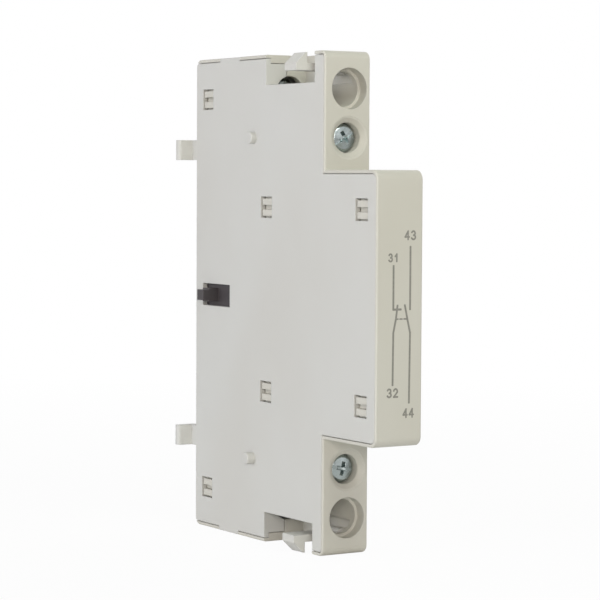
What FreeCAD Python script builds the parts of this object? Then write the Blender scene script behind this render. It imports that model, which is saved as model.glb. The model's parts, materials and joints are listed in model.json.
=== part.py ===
"""Side-mounted auxiliary contact block: housing, side cover, contacts, terminals and latches.

Frame: X = 0 is the flat mating side and +X runs through the width, the nose faces -Y, +Z is up.
The origin lies on the mating side, midway between the two locating pegs. Units are millimetres.
"""
import FreeCAD
import Part
import math
import os

V = FreeCAD.Vector

# Overall sizes
width = 9.5
half_height = 44.5
column_length = 20.85
nose_depth = 16.6
body_depth = 45.8
peg_line_to_back = 21.4

# Shell
edge_wall = 1.5
far_wall = 1.0
cover_thickness = 1.0
rim = 0.6
front_rim = 0.4
seam = 0.08
column_seam = 0.2
nose_seam = 0.05
corner_radius = 1.4
nose_corner_radius = 1.6
far_edge_radius = 0.4
near_edge_radius = 0.3
rib_thickness = 1.0
cover_play = 0.1
cover_edge_radius = 0.25
cover_corner_radius = 0.6
cover_nose_radius = 1.2
rebate_corner_radius = 0.55
inner_corner_radius = 0.4

# Pockets at the top and the bottom, open to the mating side
column_wall = 3.5
pocket_back_share = 0.56332
pocket_depth = 5.5
pocket_back_wall = 1.2
pocket_parting_offset = 0.25
pocket_parting_gap = 0.15
notch_play = 0.1

# Terminals
terminal_offset = 0.35
near_terminal_from_end = 15.2
far_terminal_from_end = 6.6
bore_wall_play = 0.1
driver_bore_depth = 2.2
driver_throat_step = 0.5
back_hole_step = 0.3
well_cone_step = 0.97
well_chamfer = 0.12
head_room = 0.1
well_cone_depth = 0.8
well_wall_thickness = 2.9
head_recess = 1.4
head_inset = 0.5
head_height = 1.7
head_crown = 0.4
head_round = 0.8
cross_half_width = 0.4
cross_reach = 1.5
cross_root_reach = 0.55
cross_depth = 1.3
slot_half_width = 0.3
slot_depth = 0.6
point_chamfer = 0.4
head_play = 0.6
shank_radius = 1.45
thread_play = 0.05
thread_pitch = 0.5
screw_turns = 4
clamp_plate_thickness = 1.0
clamp_plate_play = 0.65
clamp_plate_height = 6.2
clamp_lip = 0.5
clamp_lip_width = 0.8
clamp_hole_play = 0.15
conductor_gap = 2.7
strip_thickness = 1.0
strip_inset = 0.3
strip_neck_width = 3.4
strip_overhang = 3.6
strip_outer_overhang = 3.2
collar_radius = 2.3
collar_height = 1.2
shank_reach = 0.8
wire_channel_width = 3.6
slot_play = 0.1
boss_margin = 0.9
room_margin = 1.2
weld = 0.2
cut_margin = 1.0

# Contacts
contact_z = 9.0
contact_end = 1.8
contact_radius = 1.3
fixed_tip_height = 0.7
moving_tip_height = 0.5
bridge_thickness = 0.6
bridge_width = 4.0
bridge_overhang = 1.6
bridge_corner_radius = 1.0
contact_touch = 0.02
contact_opening = 3.0
contact_overtravel = 1.0

# Contact carrier
carrier_half_height = 3.2
carrier_play = 0.12
carrier_front_wall = 2.78
bridge_side_play = 0.25
carrier_rear_gap = 0.1
carrier_core_depth = 1.2
carrier_web = 0.6
carrier_skin = 0.9
carrier_window_wall = 2.0
guide_play = 0.15
bridge_seat_play = 0.02
tip_reach = 2.3
tip_thickness = 2.3
tip_height = 2.0
tip_from_window_rear = 1.9
tip_root_height = 2.5
tip_root_reach = 1.1
tip_seat = 0.5
spring_seat_length = 1.5
spring_seat_radius = 1.2
strip_rib_gap = 2.0
strip_rib_height = 1.5
strip_rib_cheek = 1.4

# Springs
return_spring_radius = 1.9
return_spring_wire = 0.25
return_spring_turns = 8
contact_spring_radius = 1.3
contact_spring_wire = 0.22
contact_spring_length = 4.5
contact_spring_turns = 5
spring_end_gap = 0.1

# Actuator window in the cover
window_front_to_back = 2.7
window_length = 10.2
window_height = 4.2

# Snap hooks of the housing and their windows in the cover
snap_window = 3.85
snap_end_gap = 0.5
snap_side_gap = 0.35
snap_slot = 0.85
snap_barb = 0.6
snap_barb_thickness = 0.45
snap_recess = 0.08
snap_slot_depth = 2.6
snap_seat_margin = 0.45
rear_snap_to_back = 4.55
rear_snap_from_end = 7.6
middle_snap_to_strip = 7.5
nose_snap_from_front = 4.75
inner_snap_from_nose = 6.8

# Locating pegs, rear hooks and edge tabs of the cover
peg_radius = 1.1
top_peg_reach = 1.1
bottom_peg_reach = 1.6
peg_round = 0.2
peg_from_end = 15.0
hook_from_end = 17.1
hook_height = 3.8
hook_neck = 1.6
hook_thickness = 1.6
hook_root_thickness = 1.4
hook_reach = 2.95
hook_round = 0.7
tab_to_back = 16.25
tab_length = 7.15

# Latches
latch_front_gap = 1.25
latch_width = 3.85
latch_reach = 3.0
latch_arm_from_end = 2.1
latch_arm_thickness = 1.3
latch_slope = 2.0
latch_flat = 0.3
latch_catch_height = 1.9
latch_pivot_depth = 1.4
latch_boss_radius = 1.2
latch_pin_radius = 0.5
latch_pin_play = 0.03
latch_lug_gap = 2.2
latch_lug_thickness = 1.2
latch_lug_reach = 1.5
latch_side_play = 0.15
latch_pin_end = 0.1
latch_pin_bite = 1.0
latch_lug_cheek = 0.4
latch_spring_play = 0.2
latch_spring_wire = 0.15
latch_spring_turns = 3
latch_spring_leg = 3.2
latch_spring_hook = 1.0

# Tolerance for picking edges
tiny = 0.01

# Places worked out from the sizes above
back_y = peg_line_to_back
column_y = back_y - body_depth
nose_y = column_y - nose_depth
nose_half_height = half_height - column_length
inner_x = width - far_wall
rooted_x = inner_x + weld
mechanism_x = width / 2
room_half_width = (inner_x - cover_thickness) / 2
terminal_x = mechanism_x + terminal_offset
near_terminal_z = half_height - near_terminal_from_end
far_terminal_z = half_height - far_terminal_from_end
driver_bore_radius = room_half_width - bore_wall_play
driver_throat_radius = driver_bore_radius - driver_throat_step
back_hole_radius = driver_throat_radius - back_hole_step
clamp_plate_width = 2 * (room_half_width - clamp_plate_play)
strip_width = clamp_plate_width - 2 * strip_inset
head_radius = clamp_plate_width / 2 - head_inset
well_floor_radius = head_radius + head_room
well_radius = well_floor_radius + well_cone_step
carrier_window_x0 = mechanism_x - bridge_width / 2 - bridge_side_play
carrier_window_x1 = mechanism_x + bridge_width / 2 + bridge_side_play
pocket_front_y = column_y + column_wall
pocket_back_y = back_y - pocket_back_share * body_depth
pocket_parting_x = mechanism_x - pocket_parting_offset
pocket_rear_y = pocket_back_y + pocket_back_wall
pocket_floor_z = half_height - pocket_depth
screw_travel = screw_turns * thread_pitch
near_head_y = column_y + head_recess
far_head_y = pocket_rear_y + head_play
rib_x = cover_thickness + cover_play
latch_arm_top = half_height - latch_arm_from_end
latch_pivot_x = inner_x - latch_pivot_depth
latch_pivot_z = latch_arm_top - latch_arm_thickness / 2
latch_lug_x = latch_pivot_x - latch_lug_reach
latch_y0 = pocket_front_y + latch_front_gap
latch_y1 = latch_y0 + latch_width
lug_y0 = latch_y1 + latch_lug_gap
lug_y1 = lug_y0 + latch_lug_thickness


def plate_y(head_y):
    """Front face of a clamp plate, under the head of its screw."""
    return head_y + head_height


def strip_y(head_y):
    """Front face of a terminal strip, a conductor's gap behind its clamp plate."""
    return plate_y(head_y) + clamp_plate_thickness + conductor_gap


near_strip_y = strip_y(near_head_y)
far_strip_y = strip_y(far_head_y)
break_contact_y = near_strip_y - fixed_tip_height
make_contact_y = far_strip_y + strip_thickness + fixed_tip_height
break_bridge_y = break_contact_y - contact_touch - moving_tip_height - bridge_thickness
make_bridge_y = make_contact_y + contact_touch + contact_opening + moving_tip_height
window_y1 = back_y - window_front_to_back
window_y0 = window_y1 - window_length
carrier_y0 = break_bridge_y - contact_spring_length - carrier_front_wall
carrier_y1 = back_y - edge_wall - carrier_rear_gap
carrier_x0 = cover_thickness + carrier_play
carrier_x1 = inner_x - carrier_play
tip_y1 = window_y1 - tip_from_window_rear
tab_front = back_y - tab_to_back
rear_snap_y = back_y - rear_snap_to_back
rear_snap_z = half_height - rear_snap_from_end
middle_snap_y = far_strip_y - middle_snap_to_strip
inner_snap_z = nose_half_height - inner_snap_from_nose
peg_z = half_height - peg_from_end
hook_z = half_height - hook_from_end
tip_y0 = tip_y1 - tip_thickness


def box(x0, x1, y0, y1, z0, z1):
    """Block between two corners."""
    return Part.makeBox(x1 - x0, y1 - y0, z1 - z0, V(x0, y0, z0))


def rod_y(x, z, radius, y0, y1):
    """Cylinder along Y."""
    return Part.makeCylinder(radius, y1 - y0, V(x, y0, z), V(0, 1, 0))


def mirrored(shape):
    """Copy in the lower half of the block."""
    return shape.mirror(V(0, 0, 0), V(0, 0, 1))


def both(shape):
    """The shape and its copy in the lower half."""
    return [shape, mirrored(shape)]


def fused(shapes):
    """One solid from shapes that meet."""
    return shapes[0].multiFuse(shapes[1:]).removeSplitter()


def outline(corners):
    """Closed wire in the YZ plane from (y, z, radius) corners, each rounded by its radius."""
    count = len(corners)
    starts = []
    ends = []
    mids = []
    for i in range(count):
        y, z, radius = corners[i]
        here = V(0, y, z)
        before = V(0, *corners[i - 1][:2]) - here
        after = V(0, *corners[(i + 1) % count][:2]) - here
        before.normalize()
        after.normalize()
        half_turn = before.getAngle(after) / 2
        setback = radius / math.tan(half_turn)
        starts.append(here + before * setback)
        ends.append(here + after * setback)
        inward = (before + after).normalize()
        mids.append(here + inward * (radius / math.sin(half_turn) - radius))
    edges = []
    for i in range(count):
        if corners[i][2] > 0:
            edges.append(Part.Arc(starts[i], mids[i], ends[i]).toShape())
        following = starts[(i + 1) % count]
        edges.append(Part.makeLine(ends[i], following))
    return Part.Wire(edges)


def slab(corners, x0, x1):
    """Outline in the YZ plane, extruded from x0 to x1."""
    face = Part.Face(outline(corners))
    face.translate(V(x0, 0, 0))
    return face.extrude(V(x1 - x0, 0, 0))


def body_corners(inset_back, inset_edge, inset_column, inset_nose, radius, nose_radius):
    """Corners of the T-shaped side view, drawn in from the outer faces."""
    upper = [
        (back_y - inset_back, half_height - inset_edge, radius),
        (column_y + inset_column, half_height - inset_edge, radius),
        (column_y + inset_column, nose_half_height - inset_edge, 0),
        (nose_y + inset_nose, nose_half_height - inset_edge, nose_radius),
    ]
    lower = [(y, -z, r) for y, z, r in reversed(upper)]
    return upper + lower


def snap_places():
    """Centres (y, z) of the six snap hooks."""
    upper = [
        (rear_snap_y, rear_snap_z),
        (middle_snap_y, inner_snap_z),
        (nose_y + nose_snap_from_front, inner_snap_z),
    ]
    return upper + [(y, -z) for y, z in upper]


def snap_hook(y, z):
    """Two-pronged hook that stands on the far wall and grips the cover's ledge."""
    half = snap_window / 2
    y0 = y - half + snap_barb
    y1 = y + half - snap_end_gap
    post = box(snap_recess, rooted_x, y0, y1, z - half + snap_side_gap, z + half - snap_side_gap)
    barb = box(
        snap_recess,
        snap_recess + snap_barb_thickness,
        y - half + slot_play / 2,
        y0,
        z - half + snap_side_gap,
        z + half - snap_side_gap,
    )
    slot = box(0, snap_slot_depth, y - half - cut_margin, y + half, z - snap_slot / 2, z + snap_slot / 2)
    reach = half + snap_seat_margin
    seat = box(rib_x, rooted_x, y - reach, y + reach, z - reach, z + reach)
    return fused([post.fuse(barb).cut(slot), seat])


def snap_opening(y, z):
    """Window of the cover for one hook, with a ledge for the barb at its front."""
    half = snap_window / 2
    ledge_x = snap_recess + snap_barb_thickness + slot_play / 2
    through_y0 = y - half + snap_barb - slot_play
    through = box(-cut_margin, cover_thickness + cut_margin, through_y0, y + half, z - half, z + half)
    step = box(-cut_margin, ledge_x, y - half, y + half, z - half, z + half)
    return through.fuse(step)


def terminal_block():
    """Walls of the upper half around both terminals, with the pocket's floor and front."""
    screw_room = strip_thickness + collar_height + screw_travel + shank_reach + room_margin
    ramp_y1 = near_strip_y + screw_room
    far_room_y1 = far_strip_y + screw_room
    block_z = near_terminal_z + clamp_plate_height / 2 + boss_margin
    low_z = near_terminal_z - clamp_plate_height / 2 - boss_margin
    guide_radius = driver_throat_radius + rib_thickness
    guide_z = far_terminal_z - guide_radius
    ramp_wall_y1 = ramp_y1 + rib_thickness
    wall_y0 = column_y + edge_wall - weld
    wall_z1 = half_height - edge_wall + weld
    solids = [
        box(rib_x, rooted_x, wall_y0, column_y + well_wall_thickness, low_z, block_z + weld),
        box(rib_x, rooted_x, wall_y0, pocket_front_y, block_z, wall_z1),
        box(rib_x, rooted_x, pocket_front_y - weld, ramp_y1, block_z, pocket_floor_z),
        box(rib_x, rooted_x, ramp_y1 - weld, pocket_rear_y, pocket_floor_z - rib_thickness, pocket_floor_z),
        rod_y(terminal_x, far_terminal_z, guide_radius, ramp_y1 - weld, pocket_back_y),
        box(rib_x, rooted_x, ramp_y1, ramp_wall_y1, low_z - rib_thickness, pocket_floor_z - weld),
        box(rib_x, rooted_x, wall_y0, ramp_wall_y1, low_z - rib_thickness, low_z),
        box(pocket_parting_x, rooted_x, pocket_back_y, pocket_rear_y, guide_z, wall_z1),
        box(rib_x, pocket_parting_x, pocket_back_y, pocket_rear_y, guide_z, pocket_floor_z),
        box(rib_x, rooted_x, pocket_back_y, far_room_y1 + rib_thickness, guide_z - rib_thickness, guide_z),
        box(rib_x, rooted_x, far_room_y1, far_room_y1 + rib_thickness, guide_z - weld, wall_z1),
    ]
    block = fused(solids)
    cuts = [
        wire_ramp(block_z, ramp_y1),
        rod_y(terminal_x, far_terminal_z, driver_throat_radius, pocket_front_y - cover_play, pocket_back_y),
        rod_y(
            terminal_x,
            far_terminal_z,
            back_hole_radius,
            pocket_back_y - cut_margin,
            pocket_rear_y + cut_margin,
        ),
        strip_slot(near_strip_y, low_z + weld),
        strip_slot(far_strip_y, guide_z + weld),
    ]
    for cut in cuts:
        block = block.cut(cut)
    return block


def wire_ramp(block_z, ramp_y1):
    """Sloping channel for a conductor, from the pocket's floor to the near terminal's gap."""
    x0 = terminal_x - wire_channel_width / 2
    gap_y0 = near_strip_y - conductor_gap + slot_play
    low_z = block_z - slot_play
    high_z = pocket_floor_z + slot_play
    ramp = Part.makePolygon([
        V(x0, gap_y0, low_z),
        V(x0, near_strip_y - slot_play, low_z),
        V(x0, ramp_y1 - boss_margin, high_z),
        V(x0, latch_y1, high_z),
        V(x0, gap_y0, low_z),
    ])
    return Part.Face(ramp).extrude(V(wire_channel_width, 0, 0))


def strip_slot(y, z1):
    """Slot in which a terminal strip is held."""
    return box(0, inner_x - slot_play, y - slot_play, y + strip_thickness + slot_play, 0, z1)


def inner_ribs():
    """Guides of the carrier, slots of the strips and the seat of the return spring."""
    guide_z0 = carrier_half_height + guide_play
    guide_z1 = guide_z0 + rib_thickness
    strip_rib_z = contact_z + contact_radius + strip_rib_gap
    ribs = []
    runs = [
        (near_strip_y + strip_thickness + boss_margin, far_strip_y - boss_margin),
        (make_bridge_y + bridge_thickness + carrier_window_wall, back_y - edge_wall + weld),
        (nose_y + edge_wall - weld, break_bridge_y - contact_opening - carrier_window_wall),
    ]
    for y0, y1 in runs:
        ribs.extend(both(box(carrier_window_x0, rooted_x, y0, y1, guide_z0, guide_z1)))
    for y in (near_strip_y, far_strip_y):
        rib = box(
            rib_x,
            rooted_x,
            y - strip_rib_cheek,
            y + strip_thickness + strip_rib_cheek,
            strip_rib_z,
            strip_rib_z + strip_rib_height,
        )
        ribs.extend(both(rib.cut(strip_slot(y, half_height))))
    seat_y0 = nose_y + edge_wall - weld
    seat_y1 = nose_y + edge_wall + spring_seat_length
    ribs.append(rod_y(mechanism_x, 0, spring_seat_radius, seat_y0, seat_y1))
    return ribs


def latch_lug():
    """Ear on the far wall that holds the rear end of the latch pin."""
    reach = latch_boss_radius + latch_lug_cheek
    ear = box(latch_lug_x, rooted_x, lug_y0, lug_y1, latch_pivot_z - reach, latch_pivot_z + reach)
    return ear.cut(rod_y(terminal_x, far_terminal_z, driver_throat_radius, lug_y0, lug_y1))


def housing():
    """Deep shell, open to the mating side, with all its ribs, hooks, wells and bores."""
    shell = slab(body_corners(0, 0, 0, 0, corner_radius, nose_corner_radius), 0, width)
    far_edges = [e for e in shell.Edges if e.BoundBox.XMin > width - tiny]
    shell = shell.makeFillet(far_edge_radius, far_edges)
    near_edges = [e for e in shell.Edges if e.BoundBox.XMax < tiny]
    shell = shell.makeFillet(near_edge_radius, near_edges)
    cavity = slab(
        body_corners(edge_wall, edge_wall, edge_wall, edge_wall, inner_corner_radius, inner_corner_radius),
        -cut_margin,
        inner_x,
    )
    shell = shell.cut(cavity)
    shell = fused([shell] + both(terminal_block()) + inner_ribs())

    entry = box(
        terminal_x - wire_channel_width / 2,
        terminal_x + wire_channel_width / 2,
        far_strip_y - conductor_gap + slot_play,
        far_strip_y - slot_play,
        half_height - edge_wall - cut_margin,
        half_height + cut_margin,
    )
    well_cone = Part.makeCone(
        well_radius,
        well_floor_radius,
        well_cone_depth,
        V(terminal_x, column_y, near_terminal_z),
        V(0, 1, 0),
    )
    well_mouth = Part.makeCone(
        well_radius + well_chamfer,
        well_radius,
        well_chamfer,
        V(terminal_x, column_y, near_terminal_z),
        V(0, 1, 0),
    )
    outside_y = column_y - cut_margin
    cuts = [
        box(-cut_margin, inner_x, pocket_front_y, pocket_back_y, pocket_floor_z, half_height + cut_margin),
        rod_y(terminal_x, far_terminal_z, driver_bore_radius, outside_y, column_y + driver_bore_depth),
        rod_y(terminal_x, far_terminal_z, driver_throat_radius, column_y, pocket_front_y + cover_play),
        rod_y(terminal_x, near_terminal_z, well_floor_radius, outside_y, near_head_y + head_height),
        well_cone,
        well_mouth,
        entry,
    ]
    for cut in cuts:
        for copy in both(cut):
            shell = shell.cut(copy)
    shell = fused([shell] + both(latch_lug()))
    pin_hole = rod_y(
        latch_pivot_x,
        latch_pivot_z,
        latch_pin_radius + latch_pin_play,
        pocket_front_y - latch_pin_bite - latch_pin_end,
        lug_y1 + cut_margin,
    )
    for copy in both(pin_hole):
        shell = shell.cut(copy)

    rebate = slab(
        body_corners(-cut_margin, rim, front_rim, front_rim, rebate_corner_radius, cover_nose_radius),
        -cut_margin,
        cover_thickness,
    )
    tab_gap = box(
        -cut_margin,
        cover_thickness,
        tab_front - seam,
        tab_front + tab_length + seam,
        0,
        half_height + cut_margin,
    )
    for cut in [rebate] + both(tab_gap):
        shell = shell.cut(cut)
    return fused([shell] + [snap_hook(y, z) for y, z in snap_places()])


def rear_hook():
    """Hook of the cover that turns from the rear edge towards the mating side."""
    z0 = hook_z - hook_height / 2
    z1 = hook_z + hook_height / 2
    y1 = back_y + hook_neck + hook_thickness
    root = box(0, cover_thickness, back_y - weld, y1, z0, z1)
    neck = box(0, hook_root_thickness, back_y + seam / 2, y1, z0, z1)
    arm = box(-hook_reach, hook_root_thickness, back_y + hook_neck, y1, z0, z1)
    hook = fused([root, neck, arm])
    upright = [e for e in hook.Edges if abs(e.BoundBox.ZLength - hook_height) < tiny]
    outer = [
        e for e in upright
        if e.BoundBox.XMax < -hook_reach + tiny or (e.BoundBox.YMin > y1 - tiny and e.BoundBox.XMin > 0)
    ]
    return hook.makeFillet(hook_round, outer)


def locating_peg(z, reach):
    """Round peg of the cover with a rounded end."""
    peg = Part.makeCylinder(peg_radius, reach + weld, V(-reach, 0, z), V(1, 0, 0))
    end = [e for e in peg.Edges if e.BoundBox.XMax < -reach + tiny]
    return peg.makeFillet(peg_round, end)


def side_cover():
    """Flat plate that closes the housing, with pegs, hooks, tabs, windows and half of the pocket walls."""
    plate = slab(
        body_corners(
            0,
            rim + seam,
            front_rim + column_seam,
            front_rim + nose_seam,
            cover_corner_radius,
            cover_nose_radius,
        ),
        0,
        cover_thickness,
    )
    rounded = [e for e in plate.Edges if e.BoundBox.XMax < tiny]
    plate = plate.makeFillet(cover_edge_radius, rounded)
    tab_y1 = tab_front + tab_length
    tab_z0 = half_height - rim - cut_margin
    tab = box(0, cover_thickness, tab_front, tab_y1, tab_z0, half_height - nose_seam)
    half_wall = box(
        cover_thickness - weld,
        pocket_parting_x - pocket_parting_gap,
        pocket_back_y,
        pocket_rear_y,
        pocket_floor_z + cover_play,
        half_height - edge_wall - cover_play,
    )
    half_wall = half_wall.cut(
        rod_y(
            terminal_x,
            far_terminal_z,
            back_hole_radius,
            pocket_back_y - cut_margin,
            pocket_rear_y + cut_margin,
        )
    )
    pegs = [locating_peg(peg_z, top_peg_reach), locating_peg(-peg_z, bottom_peg_reach)]
    plate = fused([plate] + both(tab) + pegs + both(half_wall) + both(rear_hook()))
    notch = box(
        -cut_margin,
        cover_thickness,
        pocket_front_y - notch_play,
        pocket_back_y,
        pocket_floor_z,
        half_height + cut_margin,
    )
    for copy in both(notch):
        plate = plate.cut(copy)
    half_window = window_height / 2
    plate = plate.cut(
        box(-cut_margin, cover_thickness + cut_margin, window_y0, window_y1, -half_window, half_window)
    )
    for y, z in snap_places():
        plate = plate.cut(snap_opening(y, z))
    return plate


def carrier():
    """Slider that carries both contact bridges and reaches out through the cover's window."""
    half = carrier_half_height
    seat_x = carrier_x0 + tip_seat
    seat_y0 = carrier_y0 - spring_seat_length
    body = box(carrier_x0, carrier_x1, carrier_y0, carrier_y1, -half, half)
    tip = box(-tip_reach, seat_x, tip_y0, tip_y1, -tip_height / 2, tip_height / 2)
    root = box(-tip_root_reach, seat_x, tip_y0, tip_y1, -tip_root_height / 2, tip_root_height / 2)
    seat = rod_y(mechanism_x, 0, spring_seat_radius, seat_y0, carrier_y0 + weld)
    break_window_y1 = break_bridge_y + bridge_thickness + contact_overtravel + bridge_seat_play
    break_window_y0 = break_bridge_y - contact_spring_length
    make_window_y0 = make_bridge_y - bridge_seat_play
    make_window_y1 = make_bridge_y + bridge_thickness + contact_spring_length
    slim_y0 = break_window_y1 + carrier_window_wall
    slim_y1 = make_window_y0 - carrier_window_wall
    core_x0 = carrier_x0 + carrier_core_depth
    core_z1 = half - carrier_skin
    cuts = [
        bridge_window(break_window_y0, break_window_y1),
        bridge_window(make_window_y0, make_window_y1),
        box(core_x0, carrier_x1 + cut_margin, slim_y0, slim_y1, carrier_web, core_z1),
        box(core_x0, carrier_x1 + cut_margin, slim_y0, slim_y1, -core_z1, -carrier_web),
    ]
    shape = fused([body, tip, root, seat])
    for cut in cuts:
        shape = shape.cut(cut)
    return shape


def bridge_window(y0, y1):
    """Opening across the carrier for one bridge and its spring."""
    reach = carrier_half_height + cut_margin
    return box(carrier_window_x0, carrier_window_x1, y0, y1, -reach, reach)


def coil(radius, wire, turns, length, left_hand):
    """Open coil spring along Z from the origin."""
    pitch = (length - 2 * wire) / turns
    helix = Part.makeHelix(pitch, pitch * turns, radius, 0, left_hand)
    circle = Part.Wire(Part.makeCircle(wire, V(radius, 0, 0), V(0, 1, 0)))
    shape = Part.Wire(helix.Edges).makePipeShell([circle], True, True)
    shape.translate(V(0, 0, wire))
    return Part.Solid(shape) if shape.ShapeType == "Shell" else shape


def coil_y(x, z, radius, wire, turns, y0, y1, left_hand=False):
    """Coil spring along Y between two seats."""
    shape = coil(radius, wire, turns, y1 - y0, left_hand)
    shape.rotate(V(0, 0, 0), V(1, 0, 0), -90)
    shape.translate(V(x, y0, z))
    return shape


def bridge(y):
    """Contact bridge across the carrier."""
    x0 = mechanism_x - bridge_width / 2
    reach = contact_z + bridge_overhang
    strip = box(x0, x0 + bridge_width, y, y + bridge_thickness, -reach, reach)
    corners = [e for e in strip.Edges if e.BoundBox.YLength > bridge_thickness - tiny]
    return strip.makeFillet(bridge_corner_radius, corners)


def bridge_tips(y, towards):
    """The two silver tips of a bridge, on its face at y, pointing along Y by the sign of towards."""
    tips = []
    for z in (contact_z, -contact_z):
        y0 = min(y, y + towards * moving_tip_height)
        tips.append(rod_y(mechanism_x, z, contact_radius, y0, y0 + moving_tip_height))
    return Part.makeCompound(tips)


def terminal_strip(head_y, z):
    """Fixed strip from a terminal to its contact, with the threaded collar of the screw."""
    y = strip_y(head_y)
    low = contact_z - contact_end
    collar_y1 = y + strip_thickness + collar_height
    pad = box(
        terminal_x - strip_width / 2,
        terminal_x + strip_width / 2,
        y,
        y + strip_thickness,
        z - strip_overhang,
        z + strip_outer_overhang,
    )
    neck = box(
        mechanism_x - strip_neck_width / 2,
        mechanism_x + strip_neck_width / 2,
        y,
        y + strip_thickness,
        low,
        z - strip_overhang + weld,
    )
    collar = rod_y(terminal_x, z, collar_radius, y + strip_thickness / 2, collar_y1)
    hole = rod_y(terminal_x, z, shank_radius + thread_play, y - cut_margin, collar_y1 + cut_margin)
    return fused([pad, neck, collar]).cut(hole)


def cross_arm(head_y, z):
    """Cutter for two opposite arms of the cross recess, narrowing with depth."""
    x0 = terminal_x - cross_half_width
    arm = Part.makePolygon([
        V(x0, head_y - cut_margin, z - cross_reach),
        V(x0, head_y - cut_margin, z + cross_reach),
        V(x0, head_y, z + cross_reach),
        V(x0, head_y + cross_depth, z + cross_root_reach),
        V(x0, head_y + cross_depth, z - cross_root_reach),
        V(x0, head_y, z - cross_reach),
        V(x0, head_y - cut_margin, z - cross_reach),
    ])
    return Part.Face(arm).extrude(V(2 * cross_half_width, 0, 0))


def terminal_screw(head_y, z, turn):
    """Crowned pan head screw with a turned cross recess and slot, its point through the collar."""
    end_y = strip_y(head_y) + strip_thickness + collar_height + shank_reach
    crown_radius = (head_radius ** 2 + head_crown ** 2) / (2 * head_crown)
    crown = Part.makeSphere(crown_radius, V(terminal_x, head_y + crown_radius, z))
    head = rod_y(terminal_x, z, head_radius, head_y, head_y + head_height).common(crown)
    top = [
        e for e in head.Edges
        if e.BoundBox.YMax < head_y + head_crown + tiny and e.BoundBox.XLength > 2 * head_radius - tiny
    ]
    head = head.makeFillet(head_round, top)
    shank = rod_y(terminal_x, z, shank_radius, head_y + head_height - weld, end_y)
    point = [e for e in shank.Edges if e.BoundBox.YMin > end_y - tiny]
    shank = shank.makeChamfer(point_chamfer, point)
    screw = fused([head, shank])
    centre = V(terminal_x, 0, z)
    arm = cross_arm(head_y, z)
    other_arm = arm.copy()
    other_arm.rotate(centre, V(0, 1, 0), 90)
    slot = box(
        terminal_x - head_radius - cut_margin,
        terminal_x + head_radius + cut_margin,
        head_y - cut_margin,
        head_y + slot_depth,
        z - slot_half_width,
        z + slot_half_width,
    )
    for recess in (arm, other_arm, slot):
        recess.rotate(centre, V(0, 1, 0), turn)
        screw = screw.cut(recess)
    return screw


def clamp_plate(head_y, z):
    """Square pressure plate under the screw's head, with two lips that hold the conductor."""
    y = plate_y(head_y)
    x0 = terminal_x - clamp_plate_width / 2
    x1 = terminal_x + clamp_plate_width / 2
    z0 = z - clamp_plate_height / 2
    z1 = z + clamp_plate_height / 2
    lip_y1 = y + clamp_plate_thickness + clamp_lip
    plate = box(x0, x1, y, y + clamp_plate_thickness, z0, z1)
    lips = [
        box(x0, x0 + clamp_lip_width, y, lip_y1, z0, z1),
        box(x1 - clamp_lip_width, x1, y, lip_y1, z0, z1),
    ]
    hole = rod_y(terminal_x, z, shank_radius + clamp_hole_play, y - cut_margin, lip_y1)
    return fused([plate] + lips).cut(hole)


def fixed_tip(head_y, towards, side):
    """Silver tip on a strip, on its front (-1) or rear (1) face."""
    y = strip_y(head_y)
    face = y if towards < 0 else y + strip_thickness
    y0 = min(face, face + towards * fixed_tip_height)
    return rod_y(mechanism_x, side * contact_z, contact_radius, y0, y0 + fixed_tip_height)


def latch():
    """Upper latch: a pivoted arm whose wedge-shaped claw stands out of the mating side."""
    top = latch_arm_top
    bottom = latch_arm_top - latch_arm_thickness
    tip_x = -latch_reach
    points = [
        V(tip_x, latch_y0, bottom),
        V(latch_pivot_x, latch_y0, bottom),
        V(latch_pivot_x, latch_y0, top),
        V(tip_x + latch_slope + latch_flat, latch_y0, top),
        V(tip_x + latch_slope + latch_flat, latch_y0, top + latch_catch_height),
        V(tip_x + latch_slope, latch_y0, top + latch_catch_height),
        V(tip_x, latch_y0, top),
        V(tip_x, latch_y0, bottom),
    ]
    arm = Part.Face(Part.makePolygon(points)).extrude(V(0, latch_width, 0))
    boss = rod_y(latch_pivot_x, latch_pivot_z, latch_boss_radius, latch_y0, latch_y1)
    hole_radius = latch_pin_radius + latch_pin_play
    hole = rod_y(latch_pivot_x, latch_pivot_z, hole_radius, latch_y0 - cut_margin, latch_y1 + cut_margin)
    return arm.fuse(boss).removeSplitter().cut(hole)


def latch_pin():
    """Pin of the upper latch, from the pocket's front wall to the ear."""
    y0 = pocket_front_y - latch_pin_bite
    return rod_y(latch_pivot_x, latch_pivot_z, latch_pin_radius, y0, lug_y1 - latch_pin_end)


def latch_spring():
    """Torsion spring on the upper latch pin: one leg hooked under the arm, one on the far wall."""
    wire = latch_spring_wire
    radius = latch_pin_radius + latch_spring_play + wire
    y0 = latch_y1 + latch_side_play
    y1 = lug_y0 - latch_side_play
    x, z = latch_pivot_x, latch_pivot_z
    body = coil_y(x, z, radius, wire, latch_spring_turns, y0, y1, True)
    body.rotate(V(x, 0, z), V(0, 1, 0), 90)
    leg_z = z - radius
    arm_leg = Part.makeCylinder(wire, latch_spring_leg, V(x, y0 + wire, leg_z), V(-1, 0, 0))
    hook_x = x - latch_spring_leg
    elbow = Part.makeSphere(wire, V(hook_x, y0 + wire, leg_z))
    hook = Part.makeCylinder(wire, latch_spring_hook, V(hook_x, y0 + wire, leg_z), V(0, -1, 0))
    wall_leg = Part.makeCylinder(wire, inner_x - x - slot_play, V(x, y1 - wire, leg_z), V(1, 0, 0))
    return fused([body, arm_leg, elbow, hook, wall_leg])


def export(shape, name):
    """Write one node as a STEP file."""
    shape.exportStep(os.path.join("parts", name + ".step"))


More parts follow.
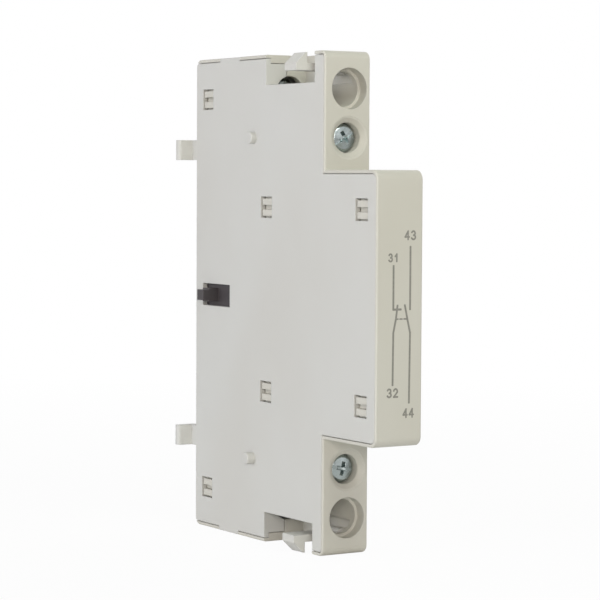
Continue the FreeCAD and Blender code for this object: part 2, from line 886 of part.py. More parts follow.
def main():
    """Build every node of the block."""
    os.makedirs("parts", exist_ok=True)
    export(housing(), "housing")
    export(side_cover(), "side_cover")
    export(carrier(), "contact_carrier")
    spring_y0 = nose_y + edge_wall + spring_end_gap
    export(
        coil_y(
            mechanism_x,
            0,
            return_spring_radius,
            return_spring_wire,
            return_spring_turns,
            spring_y0,
            carrier_y0 - spring_end_gap,
        ),
        "return_spring",
    )
    export(bridge(break_bridge_y), "contact_bridge_break")
    export(bridge(make_bridge_y), "contact_bridge_make")
    export(bridge_tips(break_bridge_y + bridge_thickness, 1), "bridge_tips_break")
    export(bridge_tips(make_bridge_y, -1), "bridge_tips_make")
    springs = {
        "contact_spring_break": (break_bridge_y - contact_spring_length, break_bridge_y),
        "contact_spring_make": (
            make_bridge_y + bridge_thickness,
            make_bridge_y + bridge_thickness + contact_spring_length,
        ),
    }
    for name, (y0, y1) in springs.items():
        spring = coil_y(
            mechanism_x,
            0,
            contact_spring_radius,
            contact_spring_wire,
            contact_spring_turns,
            y0 + spring_end_gap,
            y1 - spring_end_gap,
        )
        export(spring, name)
    terminals = {
        "31": (near_head_y, near_terminal_z, -1, 1, -29),
        "32": (near_head_y, near_terminal_z, -1, -1, 12),
        "43": (far_head_y, far_terminal_z, 1, 1, 50),
        "44": (far_head_y, far_terminal_z, 1, -1, 71),
    }
    for name, (head_y, z, towards, side, turn) in terminals.items():
        strip = terminal_strip(head_y, z)
        plate = clamp_plate(head_y, z)
        if side < 0:
            strip = mirrored(strip)
            plate = mirrored(plate)
        export(strip, "terminal_strip_" + name)
        export(plate, "clamp_plate_" + name)
        export(terminal_screw(head_y, side * z, turn), "terminal_screw_" + name)
        export(fixed_tip(head_y, towards, side), "contact_tip_" + name)
    for name, place in (("top", 0), ("bottom", 1)):
        export(both(latch())[place], "latch_" + name)
        export(both(latch_pin())[place], "latch_pin_" + name)
        export(both(latch_spring())[place], "latch_spring_" + name)


main()
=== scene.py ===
"""Looks of a slim auxiliary contact block that clips to the side of a motor starter.

The frame's own nodes get moulded and plated finishes. The terminal screws are rebuilt with their
threads and driver recesses, four springs are copied from their nodes, and the terminal numbers and
the contact diagram are printed on the nose.
"""

import json
import logging
import math
from dataclasses import dataclass, field
from enum import Enum

import bmesh
import bpy
from mathutils import Euler, Matrix, Vector

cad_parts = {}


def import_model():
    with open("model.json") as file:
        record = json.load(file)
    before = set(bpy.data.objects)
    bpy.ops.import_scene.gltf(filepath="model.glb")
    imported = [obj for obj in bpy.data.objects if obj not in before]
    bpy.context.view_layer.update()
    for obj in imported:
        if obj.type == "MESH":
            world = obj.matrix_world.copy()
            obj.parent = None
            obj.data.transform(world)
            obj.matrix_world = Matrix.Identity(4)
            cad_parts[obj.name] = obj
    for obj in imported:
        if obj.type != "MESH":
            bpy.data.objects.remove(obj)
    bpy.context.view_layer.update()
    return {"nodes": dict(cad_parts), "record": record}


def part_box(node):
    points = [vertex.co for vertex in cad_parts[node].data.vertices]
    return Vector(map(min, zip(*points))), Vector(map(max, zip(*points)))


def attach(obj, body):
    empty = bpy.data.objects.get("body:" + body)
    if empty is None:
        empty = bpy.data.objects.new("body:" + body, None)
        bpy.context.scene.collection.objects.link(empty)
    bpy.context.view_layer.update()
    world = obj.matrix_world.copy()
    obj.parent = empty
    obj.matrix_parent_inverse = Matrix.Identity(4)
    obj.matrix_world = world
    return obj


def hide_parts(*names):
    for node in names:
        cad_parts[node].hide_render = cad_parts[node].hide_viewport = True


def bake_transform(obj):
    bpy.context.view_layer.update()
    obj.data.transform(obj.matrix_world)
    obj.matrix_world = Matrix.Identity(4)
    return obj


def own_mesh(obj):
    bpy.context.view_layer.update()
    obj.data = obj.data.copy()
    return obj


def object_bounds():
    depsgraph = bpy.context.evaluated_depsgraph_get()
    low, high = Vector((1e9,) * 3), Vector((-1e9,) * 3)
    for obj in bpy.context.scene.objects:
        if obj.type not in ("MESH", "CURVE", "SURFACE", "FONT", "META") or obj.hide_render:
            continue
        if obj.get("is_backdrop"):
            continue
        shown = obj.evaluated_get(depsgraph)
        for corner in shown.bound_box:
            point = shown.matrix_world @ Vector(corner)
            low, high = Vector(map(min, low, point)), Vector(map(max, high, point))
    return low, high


Colour = tuple[float, float, float]
Point = tuple[float, float]
Point3 = tuple[float, float, float]

MM = 0.001
# Millimetres that the slider runs, and that the bridges stay behind it.
SLIDER_TRAVEL = 4.0
BRIDGE_LAG = 1.0
# Degrees by which each terminal screw's cross is turned.
SCREW_TURNS = {"31": -29, "32": 12, "43": 50, "44": 71}
log = logging.getLogger("contact_block")


def linear(red: int, green: int, blue: int) -> Colour:
    """Turn a colour of 0 to 255 as seen on a screen into the shader's linear colour.

    Args:
        red: Red level.
        green: Green level.
        blue: Blue level.

    Returns:
        The three linear levels.
    """
    def one(level: int) -> float:
        """Linear level of one channel."""
        share = level / 255
        return share / 12.92 if share <= 0.04045 else ((share + 0.055) / 1.055) ** 2.4

    return one(red), one(green), one(blue)


class NodeDesk:
    """A material under construction: adds its shader nodes and joins them."""

    def __init__(self, name: str) -> None:
        """Start an empty material.

        Args:
            name: Name of the material.
        """
        self.material = bpy.data.materials.new(name)
        self.material.use_nodes = True
        self.tree = self.material.node_tree
        self.tree.nodes.clear()
        self.output = self.tree.nodes.new("ShaderNodeOutputMaterial")

    def add(self, kind: str, values: dict | None = None, **settings: object) -> bpy.types.Node:
        """Add one node.

        Args:
            kind: Blender's name of the node, without its ShaderNode prefix.
            values: Values for input sockets, by name or number.
            settings: Properties of the node.

        Returns:
            The new node.
        """
        node = self.tree.nodes.new("ShaderNode" + kind)
        for key, value in settings.items():
            setattr(node, key, value)
        for key, value in (values or {}).items():
            node.inputs[key].default_value = value
        return node

    def join(self, source: bpy.types.NodeSocket, target: bpy.types.NodeSocket) -> None:
        """Link an output socket to an input socket."""
        self.tree.links.new(source, target)

    def object_noise(
        self, scale: float, detail: float, stretch: Point3 = (1, 1, 1)
    ) -> bpy.types.NodeSocket:
        """Add a noise pattern that is fixed to the piece.

        Args:
            scale: Features in a metre.
            detail: Octaves of the noise.
            stretch: Scale of the pattern along each axis.

        Returns:
            The noise's value socket.
        """
        place = self.add("TexCoord")
        mapping = self.add("Mapping", {"Scale": stretch})
        noise = self.add("TexNoise", {"Scale": scale, "Detail": detail, "Roughness": 0.55})
        self.join(place.outputs["Object"], mapping.inputs["Vector"])
        self.join(mapping.outputs["Vector"], noise.inputs["Vector"])
        return noise.outputs["Fac"]

    def spread(self, source: bpy.types.NodeSocket, low: float, high: float, to_low: float,
               to_high: float) -> bpy.types.NodeSocket:
        """Map a value from one range to another.

        Args:
            source: Value to map.
            low: Lower end of its range.
            high: Upper end of its range.
            to_low: Result at the lower end.
            to_high: Result at the upper end.

        Returns:
            The mapped value.
        """
        ranges = {"From Min": low, "From Max": high, "To Min": to_low, "To Max": to_high}
        node = self.add("MapRange", ranges)
        self.join(source, node.inputs["Value"])
        return node.outputs["Result"]

    def mixed(
        self, share: bpy.types.NodeSocket, first: object, second: object
    ) -> bpy.types.NodeSocket:
        """Mix two colours.

        Args:
            share: Share of the second colour.
            first: Colour or socket.
            second: Colour or socket.

        Returns:
            The mixed colour.
        """
        node = self.add("Mix", data_type="RGBA")
        self.join(share, node.inputs["Factor"])
        for slot, value in ((6, first), (7, second)):
            if isinstance(value, bpy.types.NodeSocket):
                self.join(value, node.inputs[slot])
            else:
                node.inputs[slot].default_value = (*value, 1)
        return node.outputs[2]

    def rounded_edges(self, radius: float) -> tuple[bpy.types.NodeSocket, bpy.types.NodeSocket]:
        """Add the soft normal of slightly rounded edges.

        Args:
            radius: Radius of the edges in metres.

        Returns:
            The soft normal, and a mask that is 0 on flat faces and 1 on edges, which carries the
            painted edge highlight.
        """
        bevel = self.add("Bevel", {"Radius": radius}, samples=4)
        shape = self.add("NewGeometry")
        product = self.add("VectorMath", operation="DOT_PRODUCT")
        self.join(bevel.outputs["Normal"], product.inputs[0])
        self.join(shape.outputs["True Normal"], product.inputs[1])
        # Mask of the rounded edges, where a painted highlight is mixed into the colour.
        highlight_mask = self.spread(product.outputs["Value"], 0.995, 0.80, 0.0, 1.0)
        return bevel.outputs["Normal"], highlight_mask

    def bump(self, height: bpy.types.NodeSocket, strength: float, distance: float,
             normal: bpy.types.NodeSocket | None = None) -> bpy.types.NodeSocket:
        """Add a bump.

        Args:
            height: Height pattern.
            strength: Strength of the bump.
            distance: Height of the pattern in metres.
            normal: Normal to start from.

        Returns:
            The bumped normal.
        """
        node = self.add("Bump", {"Strength": strength, "Distance": distance})
        self.join(height, node.inputs["Height"])
        if normal is not None:
            self.join(normal, node.inputs["Normal"])
        return node.outputs["Normal"]

    def finish(self, surface: bpy.types.Node) -> bpy.types.Material:
        """Join the surface shader to the output and return the material."""
        self.join(surface.outputs[0], self.output.inputs["Surface"])
        return self.material


@dataclass(frozen=True)
class MouldedPlastic:
    """Matt thermoplastic with a spark-eroded grain, faint flow marks and a painted highlight on its
    rounded edges.
    """

    name: str
    colour: Colour
    flow_colour: Colour
    # Painted highlight colour for the rounded edges, standing in for light that the edges catch.
    edge_highlight_colour: Colour
    roughness: float = 0.5
    edge_radius: float = 0.26 * MM
    grain_scale: float = 5200.0
    grain_height: float = 0.006 * MM
    flow_scale: float = 38.0

    def make(self) -> bpy.types.Material:
        """Build the material.

        Returns:
            The material.
        """
        desk = NodeDesk(self.name)
        grain = desk.object_noise(self.grain_scale, 3.0)
        flow = desk.object_noise(self.flow_scale, 2.0, (1.0, 1.0, 0.55))
        soft_normal, highlight_mask = desk.rounded_edges(self.edge_radius)
        body = desk.mixed(desk.spread(flow, 0.35, 0.65, 0.0, 1.0), self.colour, self.flow_colour)
        # Paints the edge highlight into the colour through the edge mask.
        with_edge_highlight = desk.mixed(desk.spread(highlight_mask, 0.0, 1.0, 0.0, 0.75), body, self.edge_highlight_colour)
        shader = desk.add("BsdfPrincipled", {"Specular IOR Level": 0.35, "Metallic": 0.0})
        desk.join(with_edge_highlight, shader.inputs["Base Color"])
        desk.join(
            desk.spread(grain, 0.3, 0.7, self.roughness - 0.06, self.roughness + 0.06),
            shader.inputs["Roughness"],
        )
        desk.join(desk.bump(grain, 0.5, self.grain_height, soft_normal), shader.inputs["Normal"])
        return desk.finish(shader)


@dataclass(frozen=True)
class MetalFinish:
    """Plated, rolled or drawn metal with fine brushing, cloudy tarnish and a painted highlight on
    its edges.
    """

    name: str
    colour: Colour
    tarnish: Colour
    roughness: float
    brush_scale: float = 1500.0
    brush_stretch: Point3 = (1.0, 0.08, 1.0)
    brush_height: float = 0.004 * MM
    cloud_scale: float = 420.0
    edge_radius: float = 0.05 * MM

    def make(self) -> bpy.types.Material:
        """Build the material.

        Returns:
            The material.
        """
        desk = NodeDesk(self.name)
        brush = desk.object_noise(self.brush_scale, 4.0, self.brush_stretch)
        cloud = desk.object_noise(self.cloud_scale, 3.0)
        soft_normal, highlight_mask = desk.rounded_edges(self.edge_radius)
        share = desk.spread(cloud, 0.42, 0.72, 0.0, 0.8)
        shader = desk.add("BsdfPrincipled", {"Metallic": 1.0})
        body = desk.mixed(share, self.colour, self.tarnish)
        # Painted highlight on the edges: the colour lightened by 15 %, mixed in through the edge
        # mask.
        metal_edge_highlight = tuple(min(1.0, level * 1.15) for level in self.colour)
        desk.join(desk.mixed(highlight_mask, body, metal_edge_highlight), shader.inputs["Base Color"])
        desk.join(
            desk.spread(brush, 0.3, 0.7, self.roughness * 0.75, self.roughness * 1.25),
            shader.inputs["Roughness"],
        )
        desk.join(desk.bump(brush, 0.6, self.brush_height, soft_normal), shader.inputs["Normal"])
        return desk.finish(shader)


@dataclass(frozen=True)
class PrintedInk:
    """Thin grey pad-printed ink with a slightly uneven cover."""

    name: str
    colour: Colour
    thin_colour: Colour

    def make(self) -> bpy.types.Material:
        """Build the material.

        Returns:
            The material.
        """
        desk = NodeDesk(self.name)
        cover = desk.object_noise(2600.0, 3.0)
        shader = desk.add("BsdfPrincipled", {"Roughness": 0.62, "Specular IOR Level": 0.3})
        body = desk.mixed(desk.spread(cover, 0.45, 0.75, 0.0, 0.6), self.colour, self.thin_colour)
        desk.join(body, shader.inputs["Base Color"])
        return desk.finish(shader)


class Finish(Enum):
    """Every finish of the block, under the name of its material slot."""

    # The third colour of each plastic is the painted highlight on its rounded edges.
    housing_plastic = MouldedPlastic(
        "housing_plastic", linear(205, 203, 193), linear(201, 198, 187), linear(226, 224, 215)
    )
    cover_plastic = MouldedPlastic(
        "cover_plastic", linear(206, 206, 201), linear(203, 202, 196), linear(224, 224, 220)
    )
    latch_plastic = MouldedPlastic(
        "latch_plastic", linear(208, 207, 201), linear(203, 201, 194), linear(230, 230, 226),
        roughness=0.4,
    )
    black_plastic = MouldedPlastic(
        "black_plastic", linear(72, 68, 69), linear(64, 60, 62), linear(96, 91, 92), roughness=0.45
    )
    screw_zinc = MetalFinish("screw_zinc", linear(178, 187, 187), linear(134, 142, 141), 0.24)
    clamp_steel = MetalFinish("clamp_steel", linear(196, 197, 198), linear(170, 171, 172), 0.34)
    pin_steel = MetalFinish("pin_steel", linear(192, 193, 195), linear(168, 169, 172), 0.26)
    spring_steel = MetalFinish("spring_steel", linear(186, 188, 191), linear(150, 152, 156), 0.3)
    contact_brass = MetalFinish("contact_brass", linear(214, 184, 118), linear(176, 140, 84), 0.32)
    contact_silver = MetalFinish(
        "contact_silver", linear(228, 228, 224), linear(200, 196, 186), 0.22
    )


def dress(piece: bpy.types.Object, material: bpy.types.Material) -> None:
    """Give a piece one material.

    Args:
        piece: Mesh object.
        material: Its material.
    """
    piece.data.materials.clear()
    piece.data.materials.append(material)


def piece_from(mesh_builder: bmesh.types.BMesh, name: str) -> bpy.types.Object:
    """Turn a finished bmesh into a linked object at the origin.

    Args:
        mesh_builder: The bmesh, which is freed.
        name: Name of the piece.

    Returns:
        The new object.
    """
    mesh = bpy.data.meshes.new(name)
    mesh_builder.to_mesh(mesh)
    mesh_builder.free()
    piece = bpy.data.objects.new(name, mesh)
    bpy.context.scene.collection.objects.link(piece)
    return piece


@dataclass
class NosePrint:
    """Terminal numbers and the contact diagram, printed on the nose's front face.

    Places are in millimetres: x from the mating side, z from the middle height.
    """

    face_y: float
    ink: bpy.types.Material
    body: str
    ink_height: float = 0.008
    layer_step: float = 0.0008
    line_width: float = 0.38
    thin_width: float = 0.28
    digit_line: float = 0.3
    digit_gap: float = 0.22

    def glyph(self, digit: str) -> list[list[Point]]:
        """Give the strokes of one digit inside a box of unit width and height.

        Args:
            digit: The digit, one of those that the terminals use.

        Returns:
            The corners of each stroke.
        """
        def bow(middle: Point, reach: Point, first: float, last: float) -> list[Point]:
            """Points along a part of an ellipse, between two angles in degrees."""
            angles = [math.radians(first + (last - first) * i / 8) for i in range(9)]
            (x, z), (wide, tall) = middle, reach
            return [(x + wide * math.cos(a), z + tall * math.sin(a)) for a in angles]

        strokes = {
            "1": [[(0.18, 0.70), (0.62, 1.0), (0.62, 0.0)]],
            "2": [bow((0.5, 0.70), (0.46, 0.30), 165, -25) + [(0.04, 0.0), (1.0, 0.0)]],
            "3": [
                bow((0.48, 0.745), (0.44, 0.255), 155, -80),
                bow((0.50, 0.265), (0.50, 0.265), 80, -155),
            ],
            "4": [[(0.76, 0.0), (0.76, 1.0), (0.0, 0.30), (1.04, 0.30)]],
        }
        return strokes[digit]

    def number(self, text: str, low: Point, high: Point) -> bpy.types.Object:
        """Print one terminal number.

        Args:
            text: The number.
            low: Lowest x and z of its box.
            high: Highest x and z of its box.

        Returns:
            The printed piece.
        """
        half = self.digit_line / 2
        advance = (high[0] - low[0] + self.digit_gap) / len(text)
        wide = advance - self.digit_gap - self.digit_line
        tall = high[1] - low[1] - self.digit_line
        builder = bmesh.new()
        layer = 0
        for place, digit in enumerate(text):
            left = low[0] + half + place * advance
            for points in self.glyph(digit):
                drawn = [(left + wide * u, low[1] + half + tall * v) for u, v in points]
                for start, end in zip(drawn, drawn[1:]):
                    self.stroke(builder, start, end, self.digit_line, layer)
                    layer += 1
        return self.settle(piece_from(builder, "print_" + text))

    def stroke(
        self, builder: bmesh.types.BMesh, start: Point, end: Point, width: float, layer: int
    ) -> None:
        """Add one printed line to a bmesh.

        Args:
            builder: The bmesh.
            start: x and z of its start.
            end: x and z of its end.
            width: Its width.
            layer: Its number in the print; each one is a little thicker than the one before.
        """
        a = Vector((start[0], 0, start[1])) * MM
        b = Vector((end[0], 0, end[1])) * MM
        run = b - a
        turn = math.atan2(run.x, run.z)
        thick = self.ink_height + layer * self.layer_step
        size = Vector((width * MM, 2 * thick * MM, run.length + width * MM))
        middle = (a + b) / 2 + Vector((0, self.face_y, 0))
        made = bmesh.ops.create_cube(
            builder, size=1.0, matrix=Matrix.LocRotScale(middle, Euler((0, turn, 0)), size)
        )
        corners = [e for e in builder.edges if e.verts[0] in made["verts"]]
        least = self.ink_height * MM
        across = [e for e in corners if abs(e.verts[0].co.y - e.verts[1].co.y) > least]
        bmesh.ops.bevel(
            builder, geom=across, offset=width * MM * 0.3, affect="EDGES", segments=2, profile=0.5,
            material=-1,
        )

    def diagram(
        self, name: str, lines: list[tuple[Point, Point]], width: float
    ) -> bpy.types.Object:
        """Print a group of lines as one piece.

        Args:
            name: Name of the piece.
            lines: Start and end of each line.
            width: Width of the lines.

        Returns:
            The printed piece.
        """
        builder = bmesh.new()
        for layer, (start, end) in enumerate(lines):
            self.stroke(builder, start, end, width, layer)
        return self.settle(piece_from(builder, name))

    def settle(self, piece: bpy.types.Object) -> bpy.types.Object:
        """Dress a printed piece and let it ride on the casing.

        Args:
            piece: The piece.

        Returns:
            The same piece.
        """
        dress(piece, self.ink)
        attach(piece, self.body)
        return piece

    def build(self) -> list[bpy.types.Object]:
        """Print the numbers and the diagram.

        Returns:
            The printed pieces.
        """
        link_z = -1.7
        link_starts = [4.0 + i * 0.84 for i in range(3)]
        link = [((x, link_z), (x + 0.42, link_z)) for x in link_starts]
        return [
            self.number("43", (5.63, 11.70), (8.03, 13.40)),
            self.number("31", (2.32, 7.98), (4.50, 9.52)),
            self.number("32", (2.18, -15.12), (4.57, -13.46)),
            self.number("44", (5.49, -18.69), (7.82, -17.00)),
            self.diagram(
                "print_break_pole",
                [
                    ((3.45, 7.34), (3.45, -0.04)),
                    ((3.45, -0.06), (4.97, -0.06)),
                    ((4.3, 0.58), (4.0, -1.68)),
                    ((4.0, -1.68), (3.48, -4.05)),
                    ((3.48, -4.05), (3.40, -12.90)),
                ],
                self.line_width,
            ),
            self.diagram(
                "print_make_pole",
                [
                    ((6.9, 10.56), (6.9, -0.05)),
                    ((5.82, 0.62), (6.35, -1.72)),
                    ((6.35, -1.72), (6.93, -4.1)),
                    ((6.93, -4.1), (6.80, -16.04)),
                ],
                self.line_width,
            ),
            self.diagram("print_link", link, self.thin_width),
        ]


@dataclass
class TerminalScrew:
    """Crowned pan head screw of a terminal, with a cross recess, a slot and a rolled thread.

    Lengths are in millimetres, along the axis from the top of the head.
    """

    name: str
    axis: Point
    head_y: float
    turn: float
    material: bpy.types.Material
    head_radius: float = 2.6
    head_height: float = 1.7
    crown: float = 0.4
    shoulder: float = 0.85
    shank_radius: float = 1.45
    root_radius: float = 1.22
    length: float = 8.4
    thread_start: float = 2.9
    pitch: float = 0.5
    steps: int = 40
    cross_half_width: float = 0.42
    cross_reach: float = 1.55
    cross_root: float = 0.4
    cross_depth: float = 0.95
    cross_taper: float = 0.4
    slot_half_width: float = 0.26
    slot_depth: float = 0.5

    def profile(self) -> list[Point]:
        """Draw the outline from the top of the head to the point.

        Returns:
            Radius and depth of each corner.
        """
        flat = self.head_radius - self.shoulder
        top = [(flat * i / 5, self.crown * (i / 5) ** 2 * 0.55) for i in range(6)]
        start = top[-1][1]
        drop = self.crown + self.shoulder - start
        round_off = []
        for i in range(1, 7):
            a = math.radians(15 * i)
            round_off.append((flat + self.shoulder * math.sin(a), start + drop * (1 - math.cos(a))))
        return top + round_off + [
            (self.head_radius, self.head_height - 0.12),
            (self.head_radius - 0.12, self.head_height),
            (self.shank_radius + 0.15, self.head_height),
            (self.shank_radius, self.head_height + 0.15),
            (self.shank_radius, self.thread_start - 0.25),
            (self.root_radius, self.thread_start),
            (self.root_radius, self.length - 0.35),
            (self.root_radius - 0.35, self.length),
            (0.0, self.length),
        ]

    def blank(self) -> bmesh.types.BMesh:
        """Turn the outline into a round blank.

        Returns:
            The blank, with its axis through the origin.
        """
        builder = bmesh.new()
        corners = [builder.verts.new((r * MM, y * MM, 0)) for r, y in self.profile()]
        edges = [builder.edges.new(pair) for pair in zip(corners, corners[1:])]
        bmesh.ops.spin(
            builder, geom=corners + edges, cent=(0, 0, 0), axis=(0, 1, 0), angle=2 * math.pi,
            steps=self.steps, use_merge=True,
        )
        bmesh.ops.remove_doubles(builder, verts=builder.verts, dist=0.0005 * MM)
        bmesh.ops.recalc_face_normals(builder, faces=builder.faces)
        return builder

    def roll_thread(self, builder: bmesh.types.BMesh) -> None:
        """Wind the thread's ridge round the shank.

        Args:
            builder: The blank.
        """
        first = self.thread_start + 0.05
        turns = int((self.length - 0.6 - first) / self.pitch)
        wedge = [
            (self.root_radius - 0.03, first - 0.2),
            (self.shank_radius, first - 0.04),
            (self.shank_radius, first + 0.04),
            (self.root_radius - 0.03, first + 0.2),
        ]
        ridge = bmesh.new()
        face = ridge.faces.new([ridge.verts.new((r * MM, y * MM, 0)) for r, y in wedge])
        rise = self.pitch / self.steps * MM
        bmesh.ops.spin(
            ridge, geom=[face, *face.edges, *face.verts], cent=(0, 0, 0), axis=(0, 1, 0),
            angle=2 * math.pi * turns, steps=self.steps * turns, dvec=(0, rise, 0),
        )
        bmesh.ops.recalc_face_normals(ridge, faces=ridge.faces)
        mesh = bpy.data.meshes.new("ridge")
        ridge.to_mesh(mesh)
        ridge.free()
        builder.from_mesh(mesh)
        bpy.data.meshes.remove(mesh)

    def cutters(self) -> list[bpy.types.Object]:
        """Make the solids that press the cross and the slot into the head.

        Returns:
            The two arms of the cross and the slot.
        """
        made = []
        for quarter in range(2):
            builder = bmesh.new()
            bmesh.ops.create_cube(builder, size=2.0)
            for vert in builder.verts:
                deep = vert.co.y > 0
                reach = self.cross_root if deep else self.cross_reach + 0.36
                vert.co.x *= self.cross_half_width * (self.cross_taper if deep else 1.2)
                vert.co.z *= reach
                vert.co.y = self.cross_depth if deep else -0.5
            bmesh.ops.scale(builder, verts=builder.verts, vec=(MM, MM, MM))
            spin = Matrix.Rotation(math.radians(90 * quarter), 3, "Y")
            bmesh.ops.rotate(builder, verts=builder.verts, matrix=spin)
            made.append(piece_from(builder, "cross_cutter"))
        builder = bmesh.new()
        bmesh.ops.create_cube(builder, size=2.0)
        size = (2 * self.head_radius * MM, self.slot_depth * MM, self.slot_half_width * MM)
        bmesh.ops.scale(builder, verts=builder.verts, vec=size)
        made.append(piece_from(builder, "slot_cutter"))
        return made

    def build(self) -> bpy.types.Object:
        """Make the screw in its place.

        Returns:
            The screw.
        """
        builder = self.blank()
        self.roll_thread(builder)
        piece = piece_from(builder, "screw_" + self.name)
        cutters = self.cutters()
        for cutter in cutters:
            press = piece.modifiers.new("recess", "BOOLEAN")
            press.operation = "DIFFERENCE"
            press.object = cutter
            press.solver = "EXACT"
            press.use_self = True
        bpy.context.view_layer.update()
        pressed = piece.evaluated_get(bpy.context.evaluated_depsgraph_get())
        carved = bpy.data.meshes.new_from_object(pressed)
        piece.modifiers.clear()
        piece.data = carved
        for cutter in cutters:
            bpy.data.objects.remove(cutter)
        shape = bmesh.new()
        shape.from_mesh(carved)
        turn = Matrix.Rotation(math.radians(self.turn), 3, "Y")
        bmesh.ops.rotate(shape, verts=shape.verts, matrix=turn)
        place = Vector((self.axis[0], self.head_y, self.axis[1]))
        bmesh.ops.translate(shape, verts=shape.verts, vec=place)
        shape.to_mesh(carved)
        shape.free()
        dress(piece, self.material)
        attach(piece, "screw_" + self.name)
        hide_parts("terminal_screw_" + self.name)
        return piece


@dataclass
class WoundSpring:
    """A spring: a merged copy of its CAD node, which it stands for.

    Depths are in millimetres.
    """

    node: str
    solid: bpy.types.Object
    steel: bpy.types.Material
    merge_distance: float = 1e-6
    wall_leg_depth: float = 0.3
    arm_leg_depth: float = 1.15

    def wire(self) -> bpy.types.Object:
        """Copy the node's wire into a piece of its own.

        Returns:
            The dressed piece, still without a body.
        """
        builder = bmesh.new()
        builder.from_mesh(self.solid.data)
        bmesh.ops.remove_doubles(builder, verts=builder.verts, dist=self.merge_distance)
        for face in builder.faces:
            face.smooth = True
        piece = piece_from(builder, self.node + "_wire")
        dress(piece, self.steel)
        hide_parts(self.node)
        return piece

    def press(self, body: str, joint: str, travel: float, seat_behind: bool) -> bpy.types.Object:
        """Put the spring's copy on the body that carries its seat.

        Args:
            body: The body that carries its seat.
            joint: The joint that presses it; not used.
            travel: How much shorter it gets, in millimetres; not used.
            seat_behind: Whether its seat is at the end away from the nose; not used.

        Returns:
            The piece.
        """
        piece = self.wire()
        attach(piece, body)
        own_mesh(piece)
        return piece

    def twist(self, body: str) -> bpy.types.Object:
        """Copy the coil into a piece of its own, fixed in place.

        Args:
            body: The latch's body; not used.

        Returns:
            The piece.
        """
        piece = self.wire()
        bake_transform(piece)
        return piece


@dataclass
class Works:
    """Casing, latches, slider, contacts and springs: what comes with the frame."""

    nodes: dict[str, bpy.types.Object]
    slots: dict[str, str]
    finishes: dict[str, bpy.types.Material]

    def dress_nodes(self) -> None:
        """Dress every node in its slot's finish."""
        for name, node in self.nodes.items():
            dress(node, self.finishes[self.slots[name]])

    def wind_springs(self) -> list[bpy.types.Object]:
        """Put merged copies of the spring nodes in place of the nodes.

        Returns:
            The springs.
        """
        springs = [
            self.spring("return_spring").press("base", "carrier_slide", SLIDER_TRAVEL, False),
            self.spring("contact_spring_make").press("carrier", "carrier_slide", BRIDGE_LAG, True),
        ]
        for latch in ("top", "bottom"):
            springs.append(self.spring("latch_spring_" + latch).twist("latch_" + latch))
        return springs

    def spring(self, node: str) -> WoundSpring:
        """Take one spring's node in hand."""
        return WoundSpring(node, self.nodes[node], self.finishes["spring_steel"])


@dataclass(frozen=True)
class Lamp:
    """One soft square lamp that points at the block: place and size in metres, power in watts."""

    name: str
    place: Point3
    size: float
    watts: float
    tint: Colour

    def hang(self) -> None:
        """Hang the lamp."""
        data = bpy.data.lights.new(self.name, "AREA")
        data.shape = "SQUARE"
        data.size = self.size
        data.energy = self.watts
        data.color = self.tint
        lamp = bpy.data.objects.new(self.name, data)
        lamp.location = self.place
        lamp.rotation_euler = (-Vector(self.place)).to_track_quat("-Z", "Y").to_euler()
        bpy.context.scene.collection.objects.link(lamp)


LAMPS = (
    Lamp("window_left", (-0.9, 0.1, 0.1), 0.5, 4.9, (0.9, 0.92, 1.0)),
    Lamp("camera_left", (-0.5, -0.8, 0.2), 0.3, 3.2, (1.0, 0.93, 0.88)),
    Lamp("near_top", (0.0, -0.2, 0.2), 0.1, 0.24, (0.92, 1.0, 0.93)),
    Lamp("rear", (0.85, 0.4, 0.4), 0.7, 3.8, (1.0, 1.0, 1.0)),
)


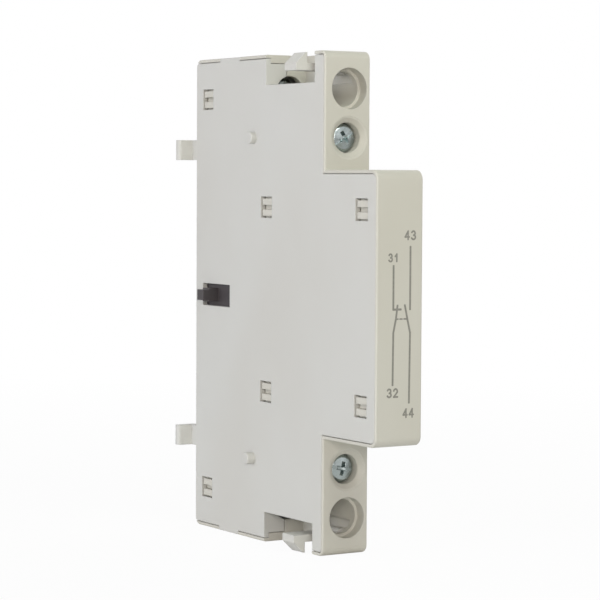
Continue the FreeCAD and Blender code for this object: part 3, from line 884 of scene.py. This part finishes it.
@dataclass
class Studio:
    """Camera, lamps, world and floor."""

    azimuth: float = -31.812
    elevation: float = 3.05
    roll: float = 0.299
    camera_place: Vector = field(default_factory=lambda: Vector((-215.94, -364.6, 22.32)) * MM)
    focal_length_pixels: float = 2303.9
    photo_width: int = 600
    sensor_width: float = 36.0
    floor_z: float = -44.5 * MM
    floor_size: float = 3.0
    floor_glow: float = 0.95
    glow_near: float = 0.08
    glow_far: float = 0.35
    ambient: float = 0.2
    ambient_tint: Colour = (1.0, 0.99, 0.97)

    def camera(self) -> None:
        """Stand the camera where the photograph was taken from."""
        data = bpy.data.cameras.new("photo_camera")
        data.sensor_width = self.sensor_width
        data.lens = self.sensor_width * self.focal_length_pixels / self.photo_width
        data.clip_start = 0.01
        data.clip_end = 10.0
        turn, rise, tilt = (math.radians(a) for a in (self.azimuth, self.elevation, self.roll))
        level = Vector((math.sin(turn), -math.cos(turn), 0))
        back = level * math.cos(rise) + Vector((0, 0, math.sin(rise)))
        right = Vector((math.cos(turn), math.sin(turn), 0))
        up = back.cross(right)
        rolled_right = right * math.cos(tilt) + up * math.sin(tilt)
        rolled_up = up * math.cos(tilt) - right * math.sin(tilt)
        camera = bpy.data.objects.new("photo_camera", data)
        rotation = Matrix((rolled_right, rolled_up, back)).transposed()
        camera.matrix_world = Matrix.Translation(self.camera_place) @ rotation.to_4x4()
        bpy.context.scene.collection.objects.link(camera)
        bpy.context.scene.camera = camera

    def world(self) -> None:
        """White to the camera and to reflections, and a softer light on the block."""
        world = bpy.data.worlds.new("studio")
        world.use_nodes = True
        bpy.context.scene.world = world
        tree = world.node_tree
        tree.nodes.clear()
        output = tree.nodes.new("ShaderNodeOutputWorld")
        path = tree.nodes.new("ShaderNodeLightPath")
        seen = tree.nodes.new("ShaderNodeMath")
        seen.operation = "MAXIMUM"
        seen_through = tree.nodes.new("ShaderNodeMath")
        seen_through.operation = "MAXIMUM"
        ambient = tree.nodes.new("ShaderNodeBackground")
        ambient.inputs["Color"].default_value = (*self.ambient_tint, 1)
        ambient.inputs["Strength"].default_value = self.ambient
        white = tree.nodes.new("ShaderNodeBackground")
        white.inputs["Color"].default_value = (1, 1, 1, 1)
        white.inputs["Strength"].default_value = 1.0
        mix = tree.nodes.new("ShaderNodeMixShader")
        tree.links.new(path.outputs["Is Camera Ray"], seen.inputs[0])
        tree.links.new(path.outputs["Is Glossy Ray"], seen.inputs[1])
        tree.links.new(seen.outputs[0], seen_through.inputs[0])
        tree.links.new(path.outputs["Is Transmission Ray"], seen_through.inputs[1])
        tree.links.new(seen_through.outputs[0], mix.inputs[0])
        tree.links.new(ambient.outputs[0], mix.inputs[1])
        tree.links.new(white.outputs[0], mix.inputs[2])
        tree.links.new(mix.outputs[0], output.inputs["Surface"])

    def floor(self) -> None:
        """Lay the pale floor, which glows to the camera and fades into the white background."""
        builder = bmesh.new()
        bmesh.ops.create_grid(builder, x_segments=1, y_segments=1, size=self.floor_size)
        bmesh.ops.translate(builder, verts=builder.verts, vec=(0, 0, self.floor_z))
        floor = piece_from(builder, "studio_floor")
        desk = NodeDesk("studio_floor")
        matt = desk.add("BsdfDiffuse", {"Color": (0.95, 0.95, 0.95, 1)})
        glow = desk.add("Emission", {"Color": (1, 1, 1, 1), "Strength": 1.0})
        place = desk.add("TexCoord")
        distance = desk.add("VectorMath", operation="LENGTH")
        desk.join(place.outputs["Object"], distance.inputs[0])
        seen_share = desk.spread(
            distance.outputs["Value"], self.glow_near, self.glow_far, self.floor_glow, 1.0
        )
        path = desk.add("LightPath")
        share = desk.add("Math", operation="MULTIPLY")
        desk.join(path.outputs["Is Camera Ray"], share.inputs[0])
        desk.join(seen_share, share.inputs[1])
        mix = desk.add("MixShader")
        desk.join(share.outputs[0], mix.inputs[0])
        desk.join(matt.outputs[0], mix.inputs[1])
        desk.join(glow.outputs[0], mix.inputs[2])
        dress(floor, desk.finish(mix))
        floor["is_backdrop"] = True

    def build(self) -> None:
        """Set up the whole studio."""
        self.camera()
        self.world()
        self.floor()
        for lamp in LAMPS:
            lamp.hang()
        bpy.context.scene.view_settings.view_transform = "Standard"


def main() -> None:
    """Load the frame, dress it and light it."""
    logging.basicConfig(level=logging.INFO, format="%(message)s")
    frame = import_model()
    nodes = frame["nodes"]
    finishes = {finish.name: finish.value.make() for finish in Finish}
    slots = {row["node"]: row["material_slot"] for row in frame["record"]["subparts"]}
    works = Works(nodes, slots, finishes)
    works.dress_nodes()
    ink = PrintedInk("print_ink", linear(138, 136, 129), linear(156, 154, 147)).make()
    housing_low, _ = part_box("housing")
    for piece in NosePrint(housing_low.y, ink, "base").build():
        log.info("printed %s", piece.name)
    for piece in works.wind_springs():
        log.info("wound %s", piece.name)
    for name, turn in SCREW_TURNS.items():
        low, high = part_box("terminal_screw_" + name)
        axis = ((low.x + high.x) / 2, (low.z + high.z) / 2)
        head_y = high.y - TerminalScrew.length * MM
        screw = TerminalScrew(name, axis, head_y, turn, finishes["screw_zinc"]).build()
        log.info("turned and threaded %s", screw.name)
    Studio().build()
    low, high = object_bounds()
    log.info("block stands from %s to %s", tuple(low), tuple(high))


if __name__ == "__main__":
    main()
